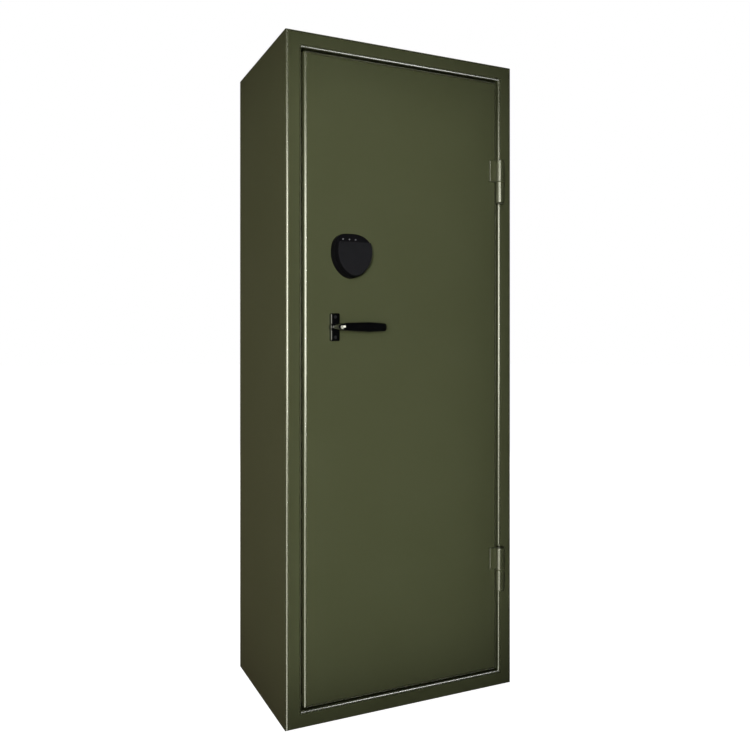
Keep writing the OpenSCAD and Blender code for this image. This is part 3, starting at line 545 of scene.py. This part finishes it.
# Lever: superellipse rings carried out of the door, round a quarter bend and along the grip.
# A ring is (v cos turn, v sin turn, h) with v = depth cos^(2/n) and h = height sin^(2/n)
def makeLever(look):
    neck, bend, out = look["neck"], look["bend"], look["out"]
    grip, half = look["reach"] - look["bend"], look["tall"] / 2
    straight = np.linspace(0, 1, 5)[:-1]
    corner = np.linspace(0, 1, 13)[:-1]
    run = np.concatenate([np.linspace(0, 1 - look["tipShare"], 30)[:-1],
                          1 - look["tipShare"] * np.cos(np.linspace(0, np.pi / 2, 12))])
    along = np.concatenate([0 * straight, bend - bend * np.cos(corner * np.pi / 2), bend + run * grip])
    outward = np.concatenate([look["start"] + straight * (out - bend - look["start"]),
                              out - bend + bend * np.sin(corner * np.pi / 2), np.full_like(run, out)])
    turn = np.concatenate([0 * straight, corner, 1 + 0 * run]) * np.pi / 2
    rise = np.sin(np.minimum(1, run * look["swellRate"]) * np.pi / 2)
    fall = np.clip((run - look["taperFrom"]) / (1 - look["taperFrom"]), 0, 1) ** look["taperShape"]
    swell = look["waist"] + (half - look["waist"]) * rise - (half - look["end"]) * fall
    tip = np.clip((run - 1 + look["tipShare"]) / look["tipShare"], 0, 1)
    close = (1 - tip ** look["tipShape"]) ** (1 / look["tipShape"])
    tall = np.concatenate([neck + 0 * straight, neck + look["neckRise"] * corner, swell * close])
    deep = np.concatenate([neck + 0 * straight, neck - look["neckThin"] * corner,
                           (look["deep"] - look["thinning"] * run) * close])
    a = np.linspace(0, 2 * np.pi, 48, endpoint=False)[None, :]
    power = 2 / np.where(turn > 0, 2 + (look["squareness"] - 2) * turn / (np.pi / 2), 2)[:, None]
    v = deep[:, None] * np.sign(np.cos(a)) * np.abs(np.cos(a)) ** power
    h = tall[:, None] * np.sign(np.sin(a)) * np.abs(np.sin(a)) ** power
    points = np.stack([handleX + along[:, None] + v * np.cos(turn)[:, None],
                       frontY - outward[:, None] + v * np.sin(turn)[:, None], handleZ + h], -1)
    buildPiece("leverGrip", [sheet(points, wrapCols=True, capFirst=True)], "handle", "black_lever",
               ["handle_lever"])


# Two screws hold the rose and two the keypad's base
def makeFaceScrews(rose, keypad):
    parts = []
    for s in (-1, 1):
        for x, z, out in ((handleX, handleZ + s * rose["screwZ"], rose["screwOut"]),
                          (keypadX + s * keypad["screwX"], keypadZ, keypad["screwOut"])):
            parts.append(screw(onFront(x, z, frontY - out), out + doorLook["sheet"]))
    buildPiece("faceScrews", parts, "door", "black_steel", ["face_screws"])


makeRose(roseLook)
makeLever(leverLook)
makeFaceScrews(roseLook, keypadLook)
print("handle made")


# Keypad

# Shield outline: superellipse quarter arcs, with one exponent above and one below its middle
def shield(look, inset, a):
    c, s = np.cos(a), np.sin(a)
    power = 2 / np.where(s > 0, look["upShape"], look["downShape"])
    tall = np.where(s > 0, look["up"], look["down"]) - inset
    x = (look["halfWide"] - inset) * np.sign(c) * np.abs(c) ** power
    return x, look["mid"] + tall * np.sign(s) * np.abs(s) ** power


def foldAngle(look, inset, level):  # angle at which the shield reaches a height above its middle
    share = (level - look["mid"]) / (look["up"] - inset)
    return math.asin(share ** (look["upShape"] / 2))


def onKeypad(u, v, w):  # w is the distance out of the door
    return np.stack(np.broadcast_arrays(keypadX + u, frontY - w, keypadZ + v), -1)


def keyPlaces():  # middle of each key, from the keypad's own middle
    names = ["1", "2", "3", "4", "5", "6", "7", "8", "9", "clear", "0", "enter"]
    return {name: (sum(box("key_" + name))[[0, 2]] / 2 - (keypadX, keypadZ)).tolist() for name in names}


# Base: the shield's outline, with an inset that follows a quarter circle at its front edge
def makeKeypadBase(look):
    a = np.linspace(0, 2 * np.pi, 96, endpoint=False)
    c = look["baseEdge"]
    section = path([c, look["base"]], arc(c, look["base"] - c, c, 90, 180, 3), [0, 0])
    rings = [onKeypad(*shield(look, i, a), d) for i, d in section]
    parts = [sheet(rings, wrapCols=True, capLast=True), flatFace([rings[0]])]
    buildPiece("keypadBase", parts, "door", "black_plastic", ["keypad_base"])


# Housing: the shield's wall, open at the back, with a flat key panel and a band that slopes back
def makeKeypadHousing(look):
    inset, wall, front, top = look["inset"], look["wall"], look["front"], look["flapTop"]
    fold = foldAngle(look, inset, top)
    upper = np.linspace(fold, np.pi - fold, 41)
    lower = np.linspace(np.pi - fold, 2 * np.pi + fold, 81)
    a = np.concatenate([upper, lower[1:-1]])
    x, z = shield(look, inset, a)
    depth = front - np.maximum(z - top, 0) * math.tan(math.radians(look["slope"]))
    xi, zi = shield(look, inset + wall, a)
    zi = np.minimum(zi, top - look["roof"])
    rows = [onKeypad(x, z, depth), onKeypad(x, z, look["base"]), onKeypad(xi, zi, look["base"]),
            onKeypad(xi, zi, front - wall)]
    bandLoop = rows[0][:len(upper)]
    panelLoop = np.concatenate([rows[0][len(upper) - 1:], rows[0][:1]])
    faces, backs, parts = [panelLoop], [rows[3]], [sheet(rows, wrapCols=True), flatFace([bandLoop])]
    for u, v in keyPlaces().values():
        ring = holeRing(u, v, look["keyBore"])
        bore = np.stack([onKeypad(ring[:, 0], ring[:, 1], d) for d in (front, front - wall)])
        parts.append(sheet(bore, wrapCols=True))
        faces.append(bore[0])
        backs.append(bore[1])
    parts += [flatFace(faces), flatFace(backs)]
    r, back = look["post"], look["postBack"]
    post = path([0, front - wall], [r, front - wall], [r, back], [0, back])
    for x in (-look["postX"], look["postX"]):
        parts.append(turned(post, lambda u, v, w: onKeypad(x + u, v, w), 24))
    parts += hingeLugs(**pinLook["housing"])
    piece = buildPiece("keypadHousing", parts, "door", "black_plastic", ["keypad_housing"])
    addBevel(piece, look["edge"], 2)


# The flap's pin runs in two lugs of the housing and two of the flap
pinLook = dict(out=25, z=24.3, housing=dict(x=23, half=2, wallOut=19, radius=2.0, bore=1.25),
               flap=dict(x=28, half=1.6, wallOut=31.6, radius=2.3, bore=1.55))


# Pair of lugs: half a circle round the pin with two sides that run back to a wall
def hingeLugs(x, half, wallOut, radius, bore):
    out, z = pinLook["out"], pinLook["z"]
    turn = -180 if out > wallOut else 180
    outline = path([wallOut, z + radius], arc(out, z, radius, 90, 90 + turn, 12), [wallOut, z - radius])
    parts = []
    for middle in (-x, x):
        place = lambda u, v, w: onKeypad(middle + w, v, u)
        parts += prism(outline, (-half, half), place, [(out, z, bore)])
    return parts


def addBevel(piece, width, segments):
    bevel = piece.modifiers.new("edges", "BEVEL")
    bevel.width = width * mm
    bevel.segments = segments
    bevel.limit_method = "ANGLE"
    bevel.angle_limit = math.radians(50)


# profile: inset and distance out, from the rim to the edge of the crowned face; rim, topRim and
# slotRim: the rim's distance out at the sides, at the top edge and in the slots for the lugs, with a
# step at stepZ; lean: drop of the top edge for each millimetre of inset
flapLook = dict(wall=1.8, sideWall=2.0, crown=0.6, crownZ=4, lean=0.13, rim=20.4, topRim=23.8,
                slotRim=28.6, stepZ=19.5, stepTall=2, topX=33, slotX=23, slotHalf=2.5, midX=12,
                hollowFrom=25, sideCount=91,
                profile=((1.0, 20.4), (1.5, 22.2), (2.1, 24.4), (2.9, 27.2), (3.7, 29.8), (4.2, 31.5),
                         (4.4, 32.0), (4.7, 32.3), (5.3, 32.4), (9.0, 32.4)))


# Flap: rings of the shield cut straight at the top, stacked from the rim to a crowned face and back
# inside. The rim's depth steps forward along the top edge, and further at the two lug slots
def makeFlap(look, shell):
    wall, crown, midZ, count = look["wall"], look["crown"], look["crownZ"], look["sideCount"]
    edges, slot = look["slotHalf"] * np.array([-1, -1, 0, 1, 1]), [0, 1, 1, 1, 0]
    topX = np.concatenate([[-look["topX"]], edges - look["slotX"], [-look["midX"], 0, look["midX"]],
                           edges + look["slotX"], [look["topX"]]])
    inSlot = np.array([0, *slot, 0, 0, 0, *slot, 0])
    first, (last, out) = look["profile"][0][0], look["profile"][-1]

    def ring(inset, side=0, drop=0):  # the top edge leans down as the inset grows
        level = shell["flapTop"] - drop - look["lean"] * (inset - first)
        fold = foldAngle(shell, inset + side, level)
        x, z = shield(shell, inset + side, np.linspace(fold, -np.pi - fold, count))
        return np.concatenate([x, topX]), np.concatenate([z, np.full_like(topX, level)])

    step = np.clip((ring(first)[1][:count] - look["stepZ"]) / look["stepTall"], 0, 1)
    rim = np.concatenate([look["rim"] + (look["topRim"] - look["rim"]) * step * step * (3 - 2 * step),
                          look["topRim"] + (look["slotRim"] - look["topRim"]) * inSlot])
    outer = [onKeypad(*ring(i), np.maximum(d, rim)) for i, d in look["profile"]]
    inner = [onKeypad(*ring(i, look["sideWall"], wall),
                      np.maximum(d - wall if d > look["hollowFrom"] else d, rim))
             for i, d in look["profile"]]

    def crowned(x, z, level):  # rings that shrink to the middle while the face rises
        share = np.linspace(1, 0, 9)[1:]
        return [onKeypad(x * f, midZ + (z - midZ) * f, level + crown * (1 - f * f)) for f in share]

    face = crowned(*ring(last), out)
    hollow = crowned(*ring(last, look["sideWall"], wall), out - wall)
    rings = face[::-1] + outer[::-1] + inner + hollow
    parts = [sheet(rings, wrapCols=True)] + hingeLugs(**pinLook["flap"])
    buildPiece("keypadFlap", parts, "flap", "black_plastic", ["keypad_flap"], finishes["flap_plastic"])


# Key: a turned button with a dished top; its mark is a flat figure set into the dish
keyLook = dict(radius=5, out=22.5, back=16, round=0.6, dish=0.3, mark=5.6, markThick=0.12,
               markLift=0.02)


def makeKeys(look):
    r, out, c = look["radius"], look["out"], look["round"]
    share = np.linspace(0, 1, 7)[:, None]
    dish = np.hstack([share * (r - c), out - look["dish"] * (1 - share ** 2)])
    profile = path(dish, arc(r - c, out - c, c, 90, 0, 4)[1:], [r, look["back"]], [0, look["back"]])
    marks = dict(clear="*", enter="#")
    for name, (u, v) in keyPlaces().items():
        place = lambda a, b, w: onKeypad(u + a, v + b, w)
        buildPiece("keyCap_" + name, [turned(profile, place)], f"key_{name}_body", "grey_keys",
                   ["key_" + name])
        makeMark(name, marks.get(name, name), u, v, out - look["dish"] + look["markLift"], look)


# Mark: a text curve made a mesh, centred and then laid on the key
def makeMark(name, text, u, v, out, look):
    curve = bpy.data.curves.new("mark", "FONT")
    curve.body = text
    curve.size = look["mark"] * mm
    curve.extrude = look["markThick"] / 2 * mm
    curve.resolution_u = 3
    curve.align_x, curve.align_y = "CENTER", "CENTER"
    source = bpy.data.objects.new("markSource", curve)
    bpy.context.scene.collection.objects.link(source)
    bpy.context.view_layer.update()
    mesh = bpy.data.meshes.new_from_object(source.evaluated_get(bpy.context.evaluated_depsgraph_get()))
    bpy.data.objects.remove(source)
    flat = np.zeros(len(mesh.vertices) * 3)
    mesh.vertices.foreach_get("co", flat)
    flat = flat.reshape(-1, 3) / mm
    flat -= (flat.max(0) + flat.min(0)) / 2
    placed = onKeypad(u + flat[:, 0], v + flat[:, 1], out + flat[:, 2])
    mesh.vertices.foreach_set("co", (placed * mm).ravel())
    mesh.update()
    mesh.name = "keyMark_" + name
    mesh.materials.clear()
    mesh.materials.append(finishes["white_print"])
    mark = bpy.data.objects.new("keyMark_" + name, mesh)
    bpy.context.scene.collection.objects.link(mark)
    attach(mark, f"key_{name}_body")


statusLook = dict(count=3, radius=1.6, back=11, out=16.3, dome=0.9)


# Lights: pegs turned about the depth, each with a dome (radius cos t, dome sin t)
def makeLights(look):
    low, high = box("indicator_lights")
    r = look["radius"]
    dome = arc(0, 0, 1, 0, 90, 5) * (r, look["dome"]) + (0, look["out"])
    profile = path([0, look["back"]], [r, look["back"]], dome)
    xs = np.linspace(low[0] + r, high[0] - r, look["count"]) - keypadX
    z = (low[2] + high[2]) / 2 - keypadZ
    parts = [turned(profile, lambda u, v, w, x=x: onKeypad(x + u, z + v, w), 24) for x in xs]
    buildPiece("statusLights", parts, "door", "light_lens", ["indicator_lights"])


makeKeypadBase(keypadLook)
makeKeypadHousing(keypadLook)
makeFlap(flapLook, keypadLook)
makeKeys(keyLook)
makeLights(statusLook)
print("keypad made")


# Inside

restLook = dict(count=5, notch=34, deep=42, ends=4, edge=3)
matLook = dict(edge=1.2, corner=8, holeX=150, hole=16)
coverLook = dict(sheet=1.5, fold=1.5, corner=3, screwHole=2.2)


# Barrel rest: an outline with round-ended notches pushed upwards, its edges bevelled
def makeBarrelRest(look):
    low, high = box("barrel_rest")
    r, count = look["notch"] / 2, look["count"]
    pitch = (high[0] - low[0] - look["ends"]) / count
    floorY = low[1] + look["deep"]
    outline = [[[low[0], high[1]], [low[0], low[1]]]]
    for i in range(count):
        x = (i - (count - 1) / 2) * pitch
        outline.append(path([x - r, low[1]], arc(x, floorY, r, 180, 0, 16), [x + r, low[1]]))
    outline.append([[high[0], low[1]], [high[0], high[1]]])
    parts = prism(path(*outline), (0, high[2] - low[2]), facingUp(high[2]))
    piece = buildPiece("barrelRest", parts, "cabinet", "black_rubber", ["barrel_rest"])
    addBevel(piece, look["edge"], 3)


# Mat: a plate with a rounded rim and two holes round the anchors
def makeMat(look):
    low, high = box("floor_mat")
    holes = [(x, 0, look["hole"]) for x in (-look["holeX"], look["holeX"])]
    parts = panel(low[:2], high[:2], high[2] - low[2], look["edge"], look["corner"],
                  facingUp(high[2]), holes)
    buildPiece("floorMat", parts, "cabinet", "black_rubber", ["floor_mat"])


# Cover: a shallow tray that opens towards the door, with a screw at each corner
def makeCover(look):
    low, high = box("mechanism_cover")
    screwLow, screwHigh = box("cover_screws")
    head = screwLook["headR"]
    xs, zs = ((screwLow[k] + head, screwHigh[k] - head) for k in (0, 2))
    places = [(x, z) for x in xs for z in zs]
    parts = panel(low[[0, 2]], high[[0, 2]], high[1] - low[1], look["fold"], look["corner"],
                  facingBack(high[1]), [(x, z, look["screwHole"]) for x, z in places], look["sheet"])
    buildPiece("mechanismCover", parts, "door", "olive_paint", ["mechanism_cover"])
    screws = [screw(onBack(x, z, screwHigh[1]), screwHigh[1] - screwLow[1]) for x, z in places]
    buildPiece("coverScrews", screws, "door", "zinc_steel", ["cover_screws"])


makeBarrelRest(restLook)
makeMat(matLook)
makeCover(coverLook)
print("inside made")


# Camera, light and floor

viewLook = dict(place=(-0.7777, -1.6968, 0.7965), turn=-0.4335, focal=771.6, frame=750, shift=-0.04)
# Lamps light the surfaces, spread being the angle that a beam keeps within; glintOn names the one
# piece that a lamp shows on, as a reflection only. Panels are glowing sheets that only reflections
# show. The floor is a disc of rings, and its glow lifts it to the background's white for the camera
lightLook = dict(
    world=dict(strength=0.1, gloss=0.005),
    floor=dict(colour=(0.3, 0.3, 0.295), glow=1.0, rings=(0.0, 1.0, 3.0, 9.0, 30.0), sides=96,
               drop=0.0005),
    lamps=dict(
        keyBeam=dict(place=(-1.1, -2.0, 0.735), aim=(-0.16, -0.18, 0.735), size=(0.8, 1.37), power=2.62,
                     spread=11),
        keyWide=dict(place=(-1.1, -2.0, 0.9), aim=(-0.16, -0.18, 0.9), size=(0.8, 1.6), power=4.55,
                     spread=40),
        leftFill=dict(place=(-2.2, 1.5, 0.1), aim=(-0.28, 0, 0.2), size=(1.6, 1.4), power=29,
                      tint=(1, 0.68, 0.78)),
        rightFill=dict(place=(2.4, 2.8, 1.5), aim=(0, 0, 0.7), size=(2.0, 2.0), power=60),
        backFill=dict(place=(0.0, 3.4, 1.6), aim=(0, 0, 0.7), size=(2.4, 2.0), power=50),
        topFill=dict(place=(-0.4, 0.6, 3.6), aim=(0, 0.1, 1.4), size=(2.0, 2.0), power=40),
        sillGlint=dict(place=(1.25, -1.4, 2.5), aim=(0, -0.18, 0.03), size=(1.4, 0.5), power=0.5,
                       spread=30, glintOn="frontFrame"),
        lintelGlint=dict(place=(0.68, -0.86, 0.06), aim=(0, -0.18, 1.41), size=(1.0, 0.5), power=0.3,
                         spread=30, glintOn="frontFrame")),
    panels=dict(
        keyBox=dict(place=(-1.3, -2.0, 1.05), aim=(-0.05, -0.18, 0.85), size=(1.1, 1.2), glow=4.6,
                    tint=(1, 1, 0.84)),
        leftWall=dict(place=(-2.4, -1.3, 0.2), aim=(-0.1, -0.18, 0.5), size=(1.3, 3.9), glow=1.9,
                      tint=(1, 1, 0.84))))


def makeCamera(look):
    camera = bpy.data.cameras.new("camera")
    camera.sensor_width = 36
    camera.lens = look["focal"] / look["frame"] * camera.sensor_width
    camera.shift_y = look["shift"]
    stand = bpy.data.objects.new("camera", camera)
    stand.location = look["place"]
    stand.rotation_euler = (math.pi / 2, 0, look["turn"])
    bpy.context.scene.collection.objects.link(stand)
    bpy.context.scene.camera = stand


def turnTo(place, aim):  # turn that points -Z from one place to another
    return (Vector(aim) - Vector(place)).to_track_quat("-Z", "Y")


def makeLamp(name, place, aim, size, power, spread=180, tint=(1, 1, 1), glintOn=None):
    lamp = bpy.data.lights.new(name, "AREA")
    lamp.shape = "RECTANGLE"
    lamp.size, lamp.size_y = size
    lamp.energy = power
    lamp.color = tint
    lamp.spread = math.radians(spread)
    stand = bpy.data.objects.new(name, lamp)
    stand.location = place
    stand.rotation_euler = turnTo(place, aim).to_euler()
    stand.visible_camera = False
    stand.visible_diffuse, stand.visible_glossy = not glintOn, bool(glintOn)
    if glintOn:
        chosen = bpy.data.collections.new(name)
        chosen.objects.link(bpy.data.objects[glintOn])
        stand.light_linking.receiver_collection = chosen
    bpy.context.scene.collection.objects.link(stand)


# Flat sheet place + u across + v up, for u and v within half of its size
def makePanel(name, place, aim, size, glow, tint):
    across, up = np.array(turnTo(place, aim).to_matrix())[:, :2].T
    half = np.array([-0.5, 0.5])
    points = place + half[:, None, None] * size[0] * across + half[None, :, None] * size[1] * up
    mesh = bpy.data.meshes.new(name)
    mesh.from_pydata(points.reshape(-1, 3), [], gridQuads(2, 2, False, False, 0))
    paint = bpy.data.materials.new(name)
    paint.use_nodes = True
    tree = paint.node_tree
    shine = tree.nodes.new("ShaderNodeEmission")
    shine.inputs["Color"].default_value = (*tint, 1)
    shine.inputs["Strength"].default_value = glow
    tree.links.new(shine.outputs["Emission"], tree.nodes["Material Output"].inputs["Surface"])
    paint.cycles.emission_sampling = "NONE"  # only a reflection finds it
    mesh.materials.append(paint)
    board = bpy.data.objects.new(name, mesh)
    bpy.context.scene.collection.objects.link(board)
    board.visible_camera = board.visible_diffuse = board.visible_shadow = False


# White to the camera, a soft grey as light, and dark in reflections
def makeWorld(strength, gloss):
    world = bpy.data.worlds.new("studio")
    world.use_nodes = True
    bpy.context.scene.world = world
    tree = world.node_tree
    seen = tree.nodes.new("ShaderNodeBackground")
    seen.inputs["Color"].default_value = (1, 1, 1, 1)
    cast = tree.nodes["Background"]
    cast.inputs["Color"].default_value = (1, 1, 1, 1)
    rays = tree.nodes.new("ShaderNodeLightPath")
    level = tree.nodes.new("ShaderNodeMix")
    level.inputs["A"].default_value, level.inputs["B"].default_value = strength, gloss
    tree.links.new(rays.outputs["Is Glossy Ray"], level.inputs["Factor"])
    tree.links.new(level.outputs["Result"], cast.inputs["Strength"])
    pick = tree.nodes.new("ShaderNodeMixShader")
    tree.links.new(rays.outputs["Is Camera Ray"], pick.inputs["Fac"])
    tree.links.new(cast.outputs["Background"], pick.inputs[1])
    tree.links.new(seen.outputs["Background"], pick.inputs[2])
    tree.links.new(pick.outputs["Shader"], tree.nodes["World Output"].inputs["Surface"])


# Disc of points (r cos a, r sin a), a little below the object
def makeFloor(colour, glow, rings, sides, drop):
    a = np.linspace(0, 2 * np.pi, sides, endpoint=False)
    r = np.array(rings)[:, None]
    points = np.stack(np.broadcast_arrays(r * np.cos(a), r * np.sin(a), -drop), -1)
    mesh = bpy.data.meshes.new("floor")
    mesh.from_pydata(points.reshape(-1, 3), [], gridQuads(len(r), sides, False, True, 0))
    paint = bpy.data.materials.new("floor")
    paint.use_nodes = True
    tree = paint.node_tree
    shader = tree.nodes["Principled BSDF"]
    shader.inputs["Base Color"].default_value = (*colour, 1)
    shader.inputs["Specular IOR Level"].default_value = 0
    shader.inputs["Emission Color"].default_value = (1, 1, 1, 1)
    rays = tree.nodes.new("ShaderNodeLightPath")
    scale = tree.nodes.new("ShaderNodeMath")
    scale.operation = "MULTIPLY"
    scale.inputs[1].default_value = glow
    tree.links.new(rays.outputs["Is Camera Ray"], scale.inputs[0])
    tree.links.new(scale.outputs["Value"], shader.inputs["Emission Strength"])
    mesh.materials.append(paint)
    floor = bpy.data.objects.new("floor", mesh)
    bpy.context.scene.collection.objects.link(floor)
    floor.visible_glossy = floor.visible_shadow = False


makeCamera(viewLook)
makeWorld(**lightLook["world"])
for name, lamp in lightLook["lamps"].items():
    makeLamp(name, **lamp)
for name, look in lightLook["panels"].items():
    makePanel(name, **look)
makeFloor(**lightLook["floor"])
bpy.context.scene.view_settings.view_transform = "Standard"
print("camera, light and floor made")
